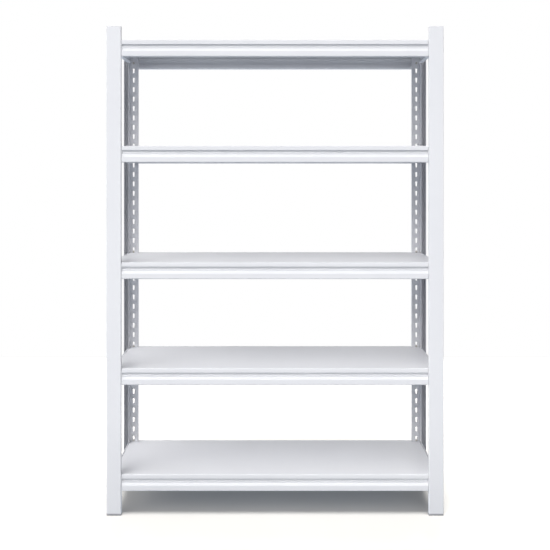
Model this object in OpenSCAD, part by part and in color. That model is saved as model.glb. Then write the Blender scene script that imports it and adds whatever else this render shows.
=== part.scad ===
// Boltless steel shelving, five levels.
// Frame: origin at the centre of the footprint on the floor, +X to the right seen
// from the front, the front faces -Y, +Z up. Millimetres.
// Four roll-formed posts with plain outer faces and slotted inner legs, beams whose
// end plates carry rivet studs that drop into the slots, and lift-out deck pans.

/* [Overall size] */
// Width over the posts
frame_w = 1240; // [900:10:1500]
// Depth over the posts
frame_d = 400; // [340:10:600]
// Height from the floor to the top of the posts
frame_h = 1800; // [1790:1:1830]

/* [Levels, as slot numbers from the bottom] */
// Slot that carries the lowest level
level_1 = 3; // [3:1:6]
// Slot that carries the second level
level_2 = 13; // [10:1:15]
// Slot that carries the third level
level_3 = 23; // [19:1:26]
// Slot that carries the fourth level
level_4 = 34; // [30:1:37]
// Slot that carries the top level
level_5 = 44; // [41:1:44]

/* [Posts] */
// Width of the post's front face
post_face = 54; // [50:1:58]
// Depth of the post's side face
post_side = 44; // [42:1:50]
// Sheet thickness of the posts
post_t = 1.2; // [1:0.1:1.4]
// Distance from the front face to the slotted leg's beam side
leg_back = 14; // [13:1:16]
// Distance from the side face to the other slotted leg's beam side
leg_in = 20; // [20:1:22]
// Spacing of the slots
pitch = 39; // [38:0.5:39]
// Height of the lowest slot's centre
slot_z0 = 44.5; // [40:0.5:50]
// Length of a slot
slot_len = 21; // [20:1:22]
// Radius of a slot's wide top end
slot_top_r = 3.9; // [3.8:0.1:4.2]
// Radius of a slot's narrow lower end
slot_low_r = 2.8; // [2.8:0.1:3]

/* [Front and rear beams] */
// Height of the front and rear beams
beam_h = 61; // [58:1:66]
// Depth of the front and rear beams
beam_d = 24; // [22:1:26]
// Sheet thickness of all beams
beam_t = 1.2; // [1:0.1:1.2]
// Height of the plain band along a beam's top
band_h = 15.3; // [15.3:0.1:16]
// How deep the groove is
groove_d = 9.5; // [9:0.5:10]
// Depth of the shallower recess under the groove
recess_d = 5; // [4.5:0.5:5]
// How far the foot of that recess leans in past its top
recess_lean = 0.9; // [0.7:0.1:0.9]

/* [Side beams] */
// Height of the side beams
side_h = 40; // [38:1:44]
// Depth of the side beams
side_d = 14; // [13:1:15]

/* [Decks] */
// Sheet thickness of the decks
deck_t = 0.8; // [0.7:0.1:1]
// Depth of the decks' folded edges
deck_edge = 15; // [13:1:15]
// Width of a deck stiffener's flat
rib_w = 40; // [30:2:50]

/* [Feet] */
// Height of the plastic foot under each post
foot_h = 7; // [5:1:9]

/* [Hidden] */
levels = [level_1, level_2, level_3, level_4, level_5];
stud_r = 2.6;              // rivet shank, rides in the slot's narrow lower end
head_r = slot_top_r - 0.25; // rivet's locking head, passes the slot's wide end
plate_t = 2;               // end plates
stud_rise = 3;             // upper rivet above the deck's top
face_gap = 1;              // a beam's face behind the post's face
side_gap = 16;             // a side beam's face behind the post's side face
end_gap = 2.5;             // gap between a beam's sheet and the post's edge
slot_in = 18.6;            // slot column from the post's inner edge
slot_back = 30;            // the other slot column from the post's front face
slots = floor((frame_h - 20 - slot_z0) / pitch) + 1;

// centre of slot k, and a level's deck-top height: its upper rivet rests in slot k
function slot_z(k) = slot_z0 + k * pitch;
function stud_z(k) = slot_z(k) - slot_len / 2 + slot_low_r;
function top_z(n) = stud_z(levels[n - 1]) - stud_rise;

// --- sheet-metal sections: a bent strip of constant thickness as one outline ---
function unit(v) = v / norm(v);
function left_of(v) = [-v[1], v[0]];
function last(a) = len(a) - 1;
// arc of radius r that rounds the corner b of a-b-c, as n + 1 points
function bend(a, b, c, r, n) =
    let (p = unit(a - b), q = unit(c - b), half = acos(max(-1, min(1, p * q))) / 2,
         m = b + unit(p + q) * r / sin(half),
         s = b + p * r / tan(half) - m, e = b + q * r / tan(half) - m,
         a0 = atan2(s[1], s[0]), raw = atan2(e[1], e[0]) - a0,
         da = raw > 180 ? raw - 360 : raw < -180 ? raw + 360 : raw)
    [for (i = [0:n]) m + r * [cos(a0 + da * i / n), sin(a0 + da * i / n)]];
// centre line with every inner corner rounded: r holds each corner's radius, n its number of flats
function bent(p, r, n) =
    [for (i = [0:last(p)]) each (i == 0 || i == last(p)) ? [p[i]] : bend(p[i - 1], p[i], p[i + 1], r[i], is_list(n) ? n[i] : n)];
// the line shifted sideways by h
function shifted(p, h) =
    [for (i = [0:last(p)])
        let (d0 = unit(i == 0 ? p[1] - p[0] : p[i] - p[i - 1]),
             d1 = unit(i == last(p) ? p[i] - p[i - 1] : p[i + 1] - p[i]),
             m = unit(left_of(d0) + left_of(d1)))
        p[i] + m * h / (m * left_of(d0))];
function flip(a) = [for (i = [last(a):-1:0]) a[i]];
function strip(p, t) = concat(shifted(p, t / 2), flip(shifted(p, -t / 2)));

// a slot: wide round top, narrower round bottom
slot_pts = concat(
    [for (i = [0:6]) [0, slot_len / 2 - slot_top_r] + slot_top_r * [cos(-15 + 35 * i), sin(-15 + 35 * i)]],
    [for (i = [0:4]) [0, -slot_len / 2 + slot_low_r] + slot_low_r * [cos(190 + 40 * i), sin(190 + 40 * i)]]);
// the larger relief slot in the rear face
relief_pts = [for (c = [[8.5, 0], [-8.5, 180]]) for (i = [0:5])
    [6.5 * cos(c[1] + 36 * i), c[0] + 6.5 * sin(c[1] + 36 * i)]];

// sections run from a 2D (depth, height) outline along X or along Y
module along_x(l) rotate([90, 0, 90]) linear_extrude(l, center = true) children();
module along_y(l) rotate([90, 0, 0]) linear_extrude(l, center = true) children();

// --- posts, drawn at the front left corner ---
hp = post_t / 2;
post_line = [[hp, post_side], [hp, hp], [post_face - hp, hp], [post_face - hp, leg_back - hp],
             [leg_in - hp, leg_back - hp], [leg_in - hp, post_side]];
post_strip = strip(bent(post_line, [0, 2, 2, 1.6, 2, 0], 4), post_t);

module post_blank() translate([-frame_w / 2, -frame_d / 2, foot_h])
    linear_extrude(frame_h - foot_h) polygon(post_strip);
module post(relief) difference() {
    post_blank();
    for (k = [0:slots - 1]) {
        translate([-frame_w / 2 + post_face - slot_in, -frame_d / 2 + leg_back - 1, slot_z(k)])
            along_y(4) polygon(slot_pts);
        translate([-frame_w / 2 + leg_in - 1, -frame_d / 2 + slot_back, slot_z(k)])
            along_x(4) polygon(slot_pts);
        if (relief) translate([-frame_w / 2 + post_face - slot_in, -frame_d / 2, slot_z(k)])
            along_y(6) polygon(relief_pts);
    }
}
// plastic shoe: a base that follows the section and a plug up inside its cavity
function corner(x, y, a) = [for (i = [0:4]) [x + 3 * cos(a + 22.5 * i), y + 3 * sin(a + 22.5 * i)]];
foot_outline = concat(corner(post_face - 3, 3, 270), corner(post_face - 3, leg_back - 3, 0), [[leg_in, leg_back]],
                      corner(leg_in - 3, post_side - 3, 0), corner(3, post_side - 3, 90), corner(3, 3, 180));
module foot() translate([-frame_w / 2, -frame_d / 2, 0]) union() {
    linear_extrude(foot_h) polygon(foot_outline);
    translate([0, 0, foot_h - 1]) linear_extrude(16) polygon([[2, 2], [post_face - 2, 2],
        [post_face - 2, leg_back - 2], [leg_in - 2, leg_back - 2], [leg_in - 2, post_side - 2], [2, post_side - 2]]);
}
module at_rear() mirror([0, 1, 0]) children();
module at_right() mirror([1, 0, 0]) children();

// --- front and rear beams: open hem, plain band, groove that makes the deck's ledge,
//     recess, sloped face, lower band, bottom flange and lip ---
hb = beam_t / 2;
hem = 4.1;                 // open hem, over its outer faces
beam_line = [[hem - hb, -10], [hem - hb, -hb], [hb, -hb], [hb, -band_h - hb], [groove_d + hb, -band_h - hb],
             [groove_d + hb, -24.6], [recess_d - recess_lean + hb, -24.6], [recess_d + hb, -31.5], [hb, -41],
             [hb, hb - beam_h], [beam_d - hb, hb - beam_h], [beam_d - hb, 9 - beam_h]];
beam_strip = strip(bent(beam_line, [0, 1.3, 1.3, 1.5, 1.5, 1.5, 1.5, 3, 4, 2.8, 1.8, 0],
                        [0, 3, 3, 3, 3, 3, 3, 2, 2, 4, 3, 0]), beam_t);
beam_l = frame_w - 2 * (post_face + end_gap);

module long_beam(n) translate([0, -frame_d / 2 + face_gap, top_z(n)])
    along_x(beam_l) polygon(beam_strip);

// --- side beams: the same form, lower and shallower ---
side_line = [[hem - hb, -8], [hem - hb, -hb], [hb, -hb], [hb, -band_h - hb], [9 - hb, -band_h - hb],
             [9 - hb, -22], [hb, -29.5], [hb, hb - side_h], [side_d - hb, hb - side_h], [side_d - hb, 6.5 - side_h]];
side_strip = strip(bent(side_line, [0, 1.3, 1.3, 1.3, 1.3, 2.4, 3, 2, 1.5, 0], [0, 3, 3, 3, 3, 2, 2, 3, 3, 0]), beam_t);
side_l = frame_d - 2 * (post_side + end_gap);

module side_beam(n) translate([-frame_w / 2 + side_gap, 0, top_z(n)])
    along_y(side_l) polygon(side_strip);

// --- end plates: a cap welded to the beam's end and a wing that lies on the slotted leg ---
wing = 28;
module stud_hole_x() along_x(8) circle(r = stud_r + 0.05, $fn = 48);
module stud_hole_y() along_y(8) circle(r = stud_r + 0.05, $fn = 48);
// front left plate of a long beam
module long_plate(n) translate([-frame_w / 2 + post_face, -frame_d / 2, top_z(n)]) difference() {
    union() {
        translate([end_gap - plate_t, 3, -beam_h + 1]) cube([plate_t, beam_d - 2, beam_h - 2]);
        translate([0, leg_back, 0]) along_y_from([[-wing, 9], [-wing, 6 - beam_h], [3 - wing, 2 - beam_h],
            [end_gap - plate_t, 2 - beam_h], [end_gap - plate_t, -1], [-0.6, 9]], plate_t);
    }
    for (z = [stud_rise, stud_rise - pitch]) translate([-slot_in, leg_back + 1, z]) stud_hole_y();
}
// front left plate of a left side beam
module side_plate(n) translate([-frame_w / 2, -frame_d / 2 + post_side, top_z(n)]) difference() {
    union() {
        translate([leg_in, end_gap - plate_t, -side_h + 1]) cube([side_gap + side_d - leg_in, plate_t, side_h - 17]);
        translate([leg_in, 0, 0]) along_x_from([[-25, 9], [-25, 1 - side_h], [-22, -2 - side_h],
            [end_gap - plate_t, -2 - side_h], [end_gap - plate_t, -16], [-2, -12], [-2, 9]], plate_t);
    }
    for (z = [stud_rise, stud_rise - pitch])
        translate([leg_in + 1, slot_back - post_side, z]) stud_hole_x();
}
module along_y_from(p, t) translate([0, t / 2, 0]) along_y(t) polygon(p);
module along_x_from(p, t) translate([t / 2, 0, 0]) along_x(t) polygon(p);
module four() { children(); at_rear() children(); at_right() { children(); at_rear() children(); } }
module pair() { children(); at_right() children(); }

// --- rivet studs, drawn pointing along +Z, which is away from the post's leg ---
module rivet() rotate_extrude($fn = 48)
    polygon([[0, -3.3], [head_r - 0.8, -3.3], [head_r, -2.6], [head_r, -post_t - 0.2], [stud_r, -post_t - 0.2],
             [stud_r, plate_t], [4.5, plate_t], [4.3, plate_t + 0.7], [3.3, plate_t + 1.3], [1.6, plate_t + 1.6], [0, plate_t + 1.7]]);
module rivets(n) four() for (z = [stud_rise, stud_rise - pitch]) {
    translate([-frame_w / 2 + post_face - slot_in, -frame_d / 2 + leg_back, top_z(n) + z]) rotate([-90, 0, 0]) rivet();
    translate([-frame_w / 2 + leg_in, -frame_d / 2 + slot_back, top_z(n) + z]) rotate([0, 90, 0]) rivet();
}

// --- decks: a pan with folded edges, stepped in at the corners around the end plates ---
deck_x = frame_w / 2 - 22;             // half width
deck_y = frame_d / 2 - 6;              // half depth
step_x = frame_w / 2 - 24.6;           // half width beside the side beams' plates
step_y = side_l / 2 - 0.6;             // half depth where the sides step in
nose_x = frame_w / 2 - post_face - 4;  // half width of the front and rear edges
nose_y = frame_d / 2 - leg_back - 4.8; // half depth beside the long beams' plates
deck_outline = let (q = [[deck_x, 0], [deck_x, step_y], [step_x, step_y], [step_x, nose_y - 2], [step_x - 2, nose_y],
                         [nose_x, nose_y], [nose_x, deck_y - 0.8], [nose_x - 0.8, deck_y]])
    concat([for (i = [1:7]) q[i]], [for (i = [7:-1:1]) [-q[i][0], q[i][1]]],
           [for (i = [1:7]) [-q[i][0], -q[i][1]]], [for (i = [7:-1:1]) [q[i][0], -q[i][1]]]);
hd = deck_t / 2;
// half of the pan's section across the front edge: top sheet, folded edge and return lip
edge_y = strip(bent([[-deck_y + 26, -hd], [-deck_y + hd, -hd], [-deck_y + hd, hd - deck_edge], [-deck_y + 11, hd - deck_edge]],
                    [0, 1.4, 1.2, 0], 4), deck_t);
edge_x = strip(bent([[-deck_x + 20, -hd], [-deck_x + hd, -hd], [-deck_x + hd, hd - deck_edge], [-deck_x + 9, hd - deck_edge]],
                    [0, 1.4, 1.2, 0], 4), deck_t);
module deck_pan(n) translate([0, 0, top_z(n)]) union() {
    translate([0, 0, -deck_t]) linear_extrude(deck_t) polygon([for (p = deck_outline)
        [abs(p[0]) > deck_x - 1 ? sign(p[0]) * (deck_x - 1.8) : p[0], abs(p[1]) > deck_y - 1 ? sign(p[1]) * (deck_y - 1.8) : p[1]]]);
    for (s = [0, 1]) mirror([0, s, 0]) along_x(2 * nose_x - 1) polygon(edge_y);
    for (s = [0, 1]) mirror([s, 0, 0]) along_y(2 * step_y - 2) polygon(edge_x);
}
// two hat-section stiffeners, their flanges welded to the underside
rib_line = [[-rib_w / 2 - 15, -deck_t - 0.4], [-rib_w / 2 - 5, -deck_t - 0.4], [-rib_w / 2, 1.4 - deck_edge],
            [rib_w / 2, 1.4 - deck_edge], [rib_w / 2 + 5, -deck_t - 0.4], [rib_w / 2 + 15, -deck_t - 0.4]];
rib_strip = strip(bent(rib_line, [0, 1.5, 1.5, 1.5, 1.5, 0], 3), 0.8);
module ribs(n) for (s = [0, 1]) mirror([0, s, 0]) translate([0, -70, top_z(n)])
    along_x(2 * nose_x - 40) polygon(rib_strip);

// --- the separate pieces ---
module post_front_left() color([0.93, 0.93, 0.94]) post(false);
module post_front_right() color([0.93, 0.93, 0.94]) at_right() post(false);
module post_rear_left() color([0.93, 0.93, 0.94]) at_rear() post(true);
module post_rear_right() color([0.93, 0.93, 0.94]) at_right() at_rear() post(true);
module foot_front_left() color([0.5, 0.5, 0.52]) foot();
module foot_front_right() color([0.5, 0.5, 0.52]) at_right() foot();
module foot_rear_left() color([0.5, 0.5, 0.52]) at_rear() foot();
module foot_rear_right() color([0.5, 0.5, 0.52]) at_right() at_rear() foot();
module front_beam_1() color([0.93, 0.93, 0.94]) long_beam(1);
module front_beam_2() color([0.93, 0.93, 0.94]) long_beam(2);
module front_beam_3() color([0.93, 0.93, 0.94]) long_beam(3);
module front_beam_4() color([0.93, 0.93, 0.94]) long_beam(4);
module front_beam_5() color([0.93, 0.93, 0.94]) long_beam(5);
module rear_beam_1() color([0.93, 0.93, 0.94]) at_rear() long_beam(1);
module rear_beam_2() color([0.93, 0.93, 0.94]) at_rear() long_beam(2);
module rear_beam_3() color([0.93, 0.93, 0.94]) at_rear() long_beam(3);
module rear_beam_4() color([0.93, 0.93, 0.94]) at_rear() long_beam(4);
module rear_beam_5() color([0.93, 0.93, 0.94]) at_rear() long_beam(5);
module side_beam_left_1() color([0.93, 0.93, 0.94]) side_beam(1);
module side_beam_left_2() color([0.93, 0.93, 0.94]) side_beam(2);
module side_beam_left_3() color([0.93, 0.93, 0.94]) side_beam(3);
module side_beam_left_4() color([0.93, 0.93, 0.94]) side_beam(4);
module side_beam_left_5() color([0.93, 0.93, 0.94]) side_beam(5);
module side_beam_right_1() color([0.93, 0.93, 0.94]) at_right() side_beam(1);
module side_beam_right_2() color([0.93, 0.93, 0.94]) at_right() side_beam(2);
module side_beam_right_3() color([0.93, 0.93, 0.94]) at_right() side_beam(3);
module side_beam_right_4() color([0.93, 0.93, 0.94]) at_right() side_beam(4);
module side_beam_right_5() color([0.93, 0.93, 0.94]) at_right() side_beam(5);
module front_plates_1() color([0.93, 0.93, 0.94]) pair() long_plate(1);
module front_plates_2() color([0.93, 0.93, 0.94]) pair() long_plate(2);
module front_plates_3() color([0.93, 0.93, 0.94]) pair() long_plate(3);
module front_plates_4() color([0.93, 0.93, 0.94]) pair() long_plate(4);
module front_plates_5() color([0.93, 0.93, 0.94]) pair() long_plate(5);
module rear_plates_1() color([0.93, 0.93, 0.94]) pair() at_rear() long_plate(1);
module rear_plates_2() color([0.93, 0.93, 0.94]) pair() at_rear() long_plate(2);
module rear_plates_3() color([0.93, 0.93, 0.94]) pair() at_rear() long_plate(3);
module rear_plates_4() color([0.93, 0.93, 0.94]) pair() at_rear() long_plate(4);
module rear_plates_5() color([0.93, 0.93, 0.94]) pair() at_rear() long_plate(5);
module side_plates_1() color([0.93, 0.93, 0.94]) four() side_plate(1);
module side_plates_2() color([0.93, 0.93, 0.94]) four() side_plate(2);
module side_plates_3() color([0.93, 0.93, 0.94]) four() side_plate(3);
module side_plates_4() color([0.93, 0.93, 0.94]) four() side_plate(4);
module side_plates_5() color([0.93, 0.93, 0.94]) four() side_plate(5);
module rivets_1() color([0.72, 0.7, 0.66]) rivets(1);
module rivets_2() color([0.72, 0.7, 0.66]) rivets(2);
module rivets_3() color([0.72, 0.7, 0.66]) rivets(3);
module rivets_4() color([0.72, 0.7, 0.66]) rivets(4);
module rivets_5() color([0.72, 0.7, 0.66]) rivets(5);
module deck_1() color([0.9, 0.9, 0.91]) deck_pan(1);
module deck_2() color([0.9, 0.9, 0.91]) deck_pan(2);
module deck_3() color([0.9, 0.9, 0.91]) deck_pan(3);
module deck_4() color([0.9, 0.9, 0.91]) deck_pan(4);
module deck_5() color([0.9, 0.9, 0.91]) deck_pan(5);
module deck_ribs_1() color([0.9, 0.9, 0.91]) ribs(1);
module deck_ribs_2() color([0.9, 0.9, 0.91]) ribs(2);
module deck_ribs_3() color([0.9, 0.9, 0.91]) ribs(3);
module deck_ribs_4() color([0.9, 0.9, 0.91]) ribs(4);
module deck_ribs_5() color([0.9, 0.9, 0.91]) ribs(5);

post_front_left();
post_front_right();
post_rear_left();
post_rear_right();
foot_front_left();
foot_front_right();
foot_rear_left();
foot_rear_right();
front_beam_1();
front_beam_2();
front_beam_3();
front_beam_4();
front_beam_5();
rear_beam_1();
rear_beam_2();
rear_beam_3();
rear_beam_4();
rear_beam_5();
side_beam_left_1();
side_beam_left_2();
side_beam_left_3();
side_beam_left_4();
side_beam_left_5();
side_beam_right_1();
side_beam_right_2();
side_beam_right_3();
side_beam_right_4();
side_beam_right_5();
front_plates_1();
front_plates_2();
front_plates_3();
front_plates_4();
front_plates_5();
rear_plates_1();
rear_plates_2();
rear_plates_3();
rear_plates_4();
rear_plates_5();
side_plates_1();
side_plates_2();
side_plates_3();
side_plates_4();
side_plates_5();
rivets_1();
rivets_2();
rivets_3();
rivets_4();
rivets_5();
deck_1();
deck_2();
deck_3();
deck_4();
deck_5();
deck_ribs_1();
deck_ribs_2();
deck_ribs_3();
deck_ribs_4();
deck_ribs_5();
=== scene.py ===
import math

import bpy
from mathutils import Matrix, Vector

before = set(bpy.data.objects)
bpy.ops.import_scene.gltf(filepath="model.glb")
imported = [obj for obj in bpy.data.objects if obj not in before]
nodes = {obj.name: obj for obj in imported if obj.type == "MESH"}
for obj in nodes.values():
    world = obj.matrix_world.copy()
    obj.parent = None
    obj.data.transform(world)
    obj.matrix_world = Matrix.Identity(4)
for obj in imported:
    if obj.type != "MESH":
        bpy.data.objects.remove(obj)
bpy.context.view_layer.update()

scene = bpy.context.scene


# ------------------------------------------------------------------ node helpers
class Tree:
    """A small wrapper, so that a material reads as a list of nodes and links."""

    def __init__(self, tree):
        self.t = tree

    def add(self, kind, **values):
        n = self.t.nodes.new(kind)
        for k, v in values.items():
            if k.startswith("in_"):
                n.inputs[int(k[3:]) if k[3:].isdigit() else k[3:].replace("_", " ")].default_value = v
            else:
                setattr(n, k, v)
        return n

    def link(self, a, b):
        self.t.links.new(a, b)


def noise(t, coord, scale, detail=2.0, rough=0.5, distortion=0.0):
    n = t.add("ShaderNodeTexNoise")
    n.inputs["Scale"].default_value = scale
    n.inputs["Detail"].default_value = detail
    n.inputs["Roughness"].default_value = rough
    n.inputs["Distortion"].default_value = distortion
    t.link(coord, n.inputs["Vector"])
    return n.outputs["Fac"]


def spread(t, value, lo, hi, a=0.3, b=0.7):
    """value, taken from a..b, laid out over lo..hi."""
    m = t.add("ShaderNodeMapRange")
    m.inputs["From Min"].default_value = a
    m.inputs["From Max"].default_value = b
    m.inputs["To Min"].default_value = lo
    m.inputs["To Max"].default_value = hi
    t.link(value, m.inputs["Value"])
    return m.outputs["Result"]


def mix_colour(t, fac, a, b):
    m = t.add("ShaderNodeMix", data_type="RGBA")
    for name, v in (("A", a), ("B", b)):
        s = [i for i in m.inputs if i.name == name and i.type == "RGBA"][0]
        if isinstance(v, (tuple, list)):
            s.default_value = (*v, 1.0)
        else:
            t.link(v, s)
    f = [i for i in m.inputs if i.name == "Factor" and i.type == "VALUE"][0]
    if isinstance(fac, float):
        f.default_value = fac
    else:
        t.link(fac, f)
    return [o for o in m.outputs if o.type == "RGBA"][0]


def math_node(t, op, a, b=None):
    m = t.add("ShaderNodeMath", operation=op)
    for i, v in enumerate((a, b)):
        if v is None:
            continue
        if isinstance(v, (int, float)):
            m.inputs[i].default_value = float(v)
        else:
            t.link(v, m.inputs[i])
    return m.outputs[0]


def bump(t, height, strength, distance, normal=None):
    b = t.add("ShaderNodeBump")
    b.inputs["Strength"].default_value = strength
    b.inputs["Distance"].default_value = distance
    t.link(height, b.inputs["Height"])
    if normal is not None:
        t.link(normal, b.inputs["Normal"])
    return b.outputs["Normal"]


def new_material(name):
    m = bpy.data.materials.new(name)
    m.use_nodes = True
    m.node_tree.nodes.clear()
    t = Tree(m.node_tree)
    out = t.add("ShaderNodeOutputMaterial")
    p = t.add("ShaderNodeBsdfPrincipled")
    t.link(p.outputs[0], out.inputs[0])
    coord = t.add("ShaderNodeTexCoord").outputs["Object"]
    return m, t, p, coord


# ------------------------------------------------------------------ materials
def powder_coat(name, light, shade, rough, coat, peel=1.0, gloss=0.5):
    """White powder coat on sheet steel: a fine orange-peel skin, a faint cloudiness and tiny dust nibs."""
    m, t, p, co = new_material(name)
    cloud = noise(t, co, 3.1, 3.0, 0.5)
    mottled = noise(t, co, 38.0, 2.0, 0.5)
    nib = noise(t, co, 620.0, 1.0, 0.5)
    tone = mix_colour(t, spread(t, cloud, 0.0, 1.0), shade, light)
    tone = mix_colour(t, spread(t, mottled, 0.0, 0.12), tone, tuple(0.95 * c for c in light))
    tone = mix_colour(t, spread(t, nib, 0.0, 0.35, 0.74, 0.84), tone, tuple(0.84 * c for c in shade))
    t.link(tone, p.inputs["Base Color"])
    r = math_node(t, "ADD", spread(t, mottled, -0.012, 0.012), spread(t, cloud, rough - 0.02, rough + 0.03))
    t.link(r, p.inputs["Roughness"])
    p.inputs["Specular IOR Level"].default_value = gloss
    p.inputs["IOR"].default_value = 1.5
    p.inputs["Coat Weight"].default_value = coat
    p.inputs["Coat Roughness"].default_value = 0.2
    skin = noise(t, co, 330.0, 2.0, 0.45)
    wave = noise(t, co, 9.0, 1.0, 0.5)
    n = bump(t, wave, 0.1, 0.0004)
    n = bump(t, skin, 0.25 * peel, 0.00006, n)
    t.link(n, p.inputs["Normal"])
    return m


def zinc(name):
    """Bright zinc plating on a rivet: a fine grain and a slightly yellow, uneven passivation."""
    m, t, p, co = new_material(name)
    cloud = noise(t, co, 120.0, 3.0, 0.6)
    tone = mix_colour(t, spread(t, cloud, 0.0, 1.0), (0.46, 0.43, 0.38), (0.66, 0.64, 0.6))
    t.link(tone, p.inputs["Base Color"])
    p.inputs["Metallic"].default_value = 1.0
    t.link(spread(t, cloud, 0.28, 0.45), p.inputs["Roughness"])
    n = bump(t, noise(t, co, 1500.0, 2.0, 0.5), 0.2, 0.0001)
    t.link(n, p.inputs["Normal"])
    return m


def plastic(name):
    """Moulded grey plastic with a spark-eroded grain, darker in its lowest few millimetres, next to the floor."""
    m, t, p, co = new_material(name)
    cloud = noise(t, co, 30.0, 3.0, 0.6)
    grain = noise(t, co, 1400.0, 2.0, 0.55)
    z = t.add("ShaderNodeSeparateXYZ")
    t.link(co, z.inputs[0])
    # darker towards the bottom: the tone falls off over the lowest 0.5 to 3.5 mm of the foot
    low = spread(t, math_node(t, "ADD", z.outputs["Z"], spread(t, cloud, -0.002, 0.002)), 1.0, 0.0, 0.0005, 0.0035)
    tone = mix_colour(t, spread(t, cloud, 0.0, 1.0), (0.33, 0.33, 0.345), (0.39, 0.39, 0.405))
    tone = mix_colour(t, math_node(t, "MULTIPLY", low, 0.35), tone, (0.2, 0.195, 0.19))
    t.link(tone, p.inputs["Base Color"])
    t.link(spread(t, grain, 0.5, 0.66), p.inputs["Roughness"])
    t.link(bump(t, grain, 0.35, 0.0002), p.inputs["Normal"])
    return m


post_mat = powder_coat("post_powder_coat", (0.80, 0.80, 0.82), (0.765, 0.765, 0.79), 0.42, 0.15)
beam_mat = powder_coat("beam_powder_coat", (0.795, 0.795, 0.815), (0.76, 0.76, 0.785), 0.46, 0.06, 1.0, 0.32)
deck_mat = powder_coat("deck_powder_coat", (0.805, 0.805, 0.825), (0.765, 0.765, 0.79), 0.32, 0.1, 0.7, 0.36)
zinc_mat = zinc("zinc_plate")
foot_mat = plastic("foot_plastic")

for name, o in nodes.items():
    mat = (post_mat if name.startswith("post") else foot_mat if name.startswith("foot") else
           zinc_mat if name.startswith("rivets") else deck_mat if name.startswith("deck") else beam_mat)
    o.data.materials.clear()
    o.data.materials.append(mat)

# sheet-metal edges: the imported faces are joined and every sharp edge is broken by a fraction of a
# millimetre, with the big faces kept flat
for name, o in nodes.items():
    weld = o.modifiers.new("join", "WELD")
    weld.merge_threshold = 0.00001
    if not name.startswith("rivets"):
        b = o.modifiers.new("edge", "BEVEL")
        b.width = 0.0011 if name.startswith("foot") else 0.00028
        b.segments = 3 if name.startswith("foot") else 2
        b.limit_method = "ANGLE"
        b.angle_limit = math.radians(50)
        b.use_clamp_overlap = True
    w = o.modifiers.new("shade", "WEIGHTED_NORMAL")
    w.mode = "FACE_AREA"
    w.weight = 60
    w.keep_sharp = False

# ------------------------------------------------------------------ floor, lights, camera
def floor():
    mesh = bpy.data.meshes.new("floor")
    w, near, far = 3.2, -1.8, 2.4
    mesh.from_pydata([(-w, near, 0), (w, near, 0), (w, far, 0), (-w, far, 0)], [], [(0, 1, 2, 3)])
    o = bpy.data.objects.new("floor", mesh)
    scene.collection.objects.link(o)
    m, t, p, co = new_material("studio_floor")
    tone = mix_colour(t, spread(t, noise(t, co, 2.0, 2.0), 0.0, 1.0), (0.418, 0.406, 0.388), (0.433, 0.421, 0.403))
    t.link(tone, p.inputs["Base Color"])
    p.inputs["Roughness"].default_value = 0.7
    p.inputs["Specular IOR Level"].default_value = 0.2
    mesh.materials.append(m)
    o.visible_diffuse = False
    o.visible_glossy = False
    return o


ground = floor()


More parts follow.
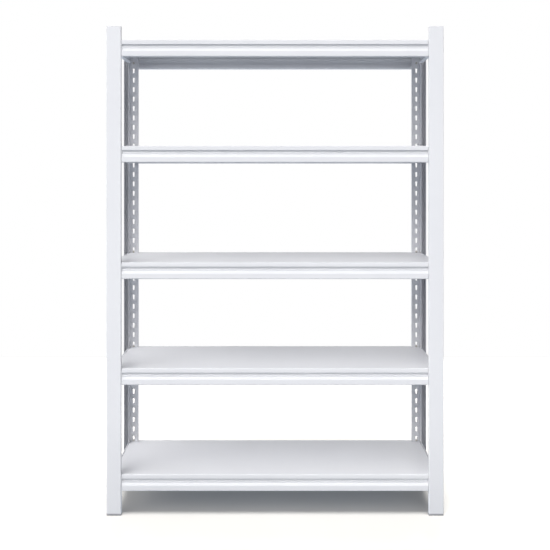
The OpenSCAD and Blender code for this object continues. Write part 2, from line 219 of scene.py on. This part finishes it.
def studio():
    """A soft white studio round the object: bright from the front and above, a little stronger from
    the left, paler behind, and a dim cool light from below."""
    world = bpy.data.worlds.new("studio")
    scene.world = world
    world.use_nodes = True
    world.node_tree.nodes.clear()
    t = Tree(world.node_tree)
    xyz = t.add("ShaderNodeSeparateXYZ")
    t.link(t.add("ShaderNodeTexCoord").outputs["Generated"], xyz.inputs[0])
    x, y, z = (xyz.outputs[k] for k in "XYZ")

    def ramp(value, a, b, lo, hi):
        m = t.add("ShaderNodeMapRange", interpolation_type="SMOOTHSTEP")
        for name, v in (("From Min", a), ("From Max", b), ("To Min", lo), ("To Max", hi)):
            if isinstance(v, (int, float)):
                m.inputs[name].default_value = v
            else:
                t.link(v, m.inputs[name])
        t.link(value, m.inputs["Value"])
        return m.outputs["Result"]

    front = ramp(z, 0.2, 0.45, FRONT_LOW, ramp(z, 0.6, 0.85, FRONT_HIGH, FRONT_TOP))
    side = math_node(t, "MULTIPLY", ramp(x, -0.7, -0.05, LEFT, 1.0), ramp(x, 0.05, 0.7, 1.0, RIGHT))
    upper = math_node(t, "MULTIPLY", ramp(y, -0.3, 0.3, front, BACK), side)
    lower = ramp(y, -0.3, 0.3, BELOW_FRONT, BELOW_BACK)
    up = ramp(z, -0.08, 0.06, 0.0, 1.0)

    def part(colour, strength):
        b = t.add("ShaderNodeBackground")
        b.inputs["Color"].default_value = (*colour, 1)
        if isinstance(strength, float):
            b.inputs["Strength"].default_value = strength
        else:
            t.link(strength, b.inputs["Strength"])
        return b.outputs[0]

    def mixed(fac, a, b):
        m = t.add("ShaderNodeMixShader")
        t.link(fac, m.inputs[0])
        t.link(a, m.inputs[1])
        t.link(b, m.inputs[2])
        return m.outputs[0]

    light = mixed(up, part((0.83, 0.94, 1.07), lower), part((0.99, 0.99, 1.0), upper))
    camera_ray = t.add("ShaderNodeLightPath").outputs["Is Camera Ray"]
    out = t.add("ShaderNodeOutputWorld")
    t.link(mixed(camera_ray, light, part((1, 1, 1), 1.0)), out.inputs[0])


FRONT_LOW, FRONT_HIGH, FRONT_TOP, BACK = 0.06, 2.68, 0.15, 0.6
LEFT, RIGHT = 1.5, 0.35
BELOW_FRONT, BELOW_BACK = 0.3, 0.85
studio()


def sun(name, azimuth, elevation, spread_deg, strength, lights):
    """A distant soft light that falls on the named objects only. Azimuth 0 is straight in front."""
    data = bpy.data.lights.new(name, "SUN")
    data.angle = math.radians(spread_deg)
    data.energy = strength
    o = bpy.data.objects.new(name, data)
    scene.collection.objects.link(o)
    az, el = math.radians(azimuth), math.radians(elevation)
    towards = Vector((math.sin(az) * math.cos(el), -math.cos(az) * math.cos(el), math.sin(el)))
    o.rotation_mode = "QUATERNION"
    o.rotation_quaternion = (-towards).to_track_quat("-Z", "Y")
    group = bpy.data.collections.new(name + "_receivers")
    for r in lights:
        group.objects.link(r)
    o.light_linking.receiver_collection = group
    return o


# the key light is flagged off the rear posts, which stand in the shade of the decks, and the floor
# has a wash of its own
shaded = ("post_rear", "foot_rear")
sun("key", -42, 55, 42, 0.9, [o for n, o in nodes.items() if not n.startswith(shaded)])
sun("fill", 0, 0, 30, 0.68, [o for n, o in nodes.items() if not n.startswith(shaded)])
sun("floor_wash", 0, 76, 26, 5.3, [ground])
sun("floor_back", 180, 46, 30, 3.2, [ground])

cam_data = bpy.data.cameras.new("camera")
cam = bpy.data.objects.new("camera", cam_data)
scene.collection.objects.link(cam)
cam.location = (0.0, -3.278, 1.2638)
cam.rotation_euler = (math.radians(90), 0, 0)
cam_data.sensor_width = 36.0
cam_data.lens = 54.80
cam_data.shift_x = 0.0
cam_data.shift_y = -0.1873
cam_data.clip_start, cam_data.clip_end = 0.05, 60
scene.camera = cam
scene.view_settings.view_transform = "Standard"
scene.view_settings.look = "None"
scene.view_settings.exposure = 0.0
scene.view_settings.gamma = 1.0
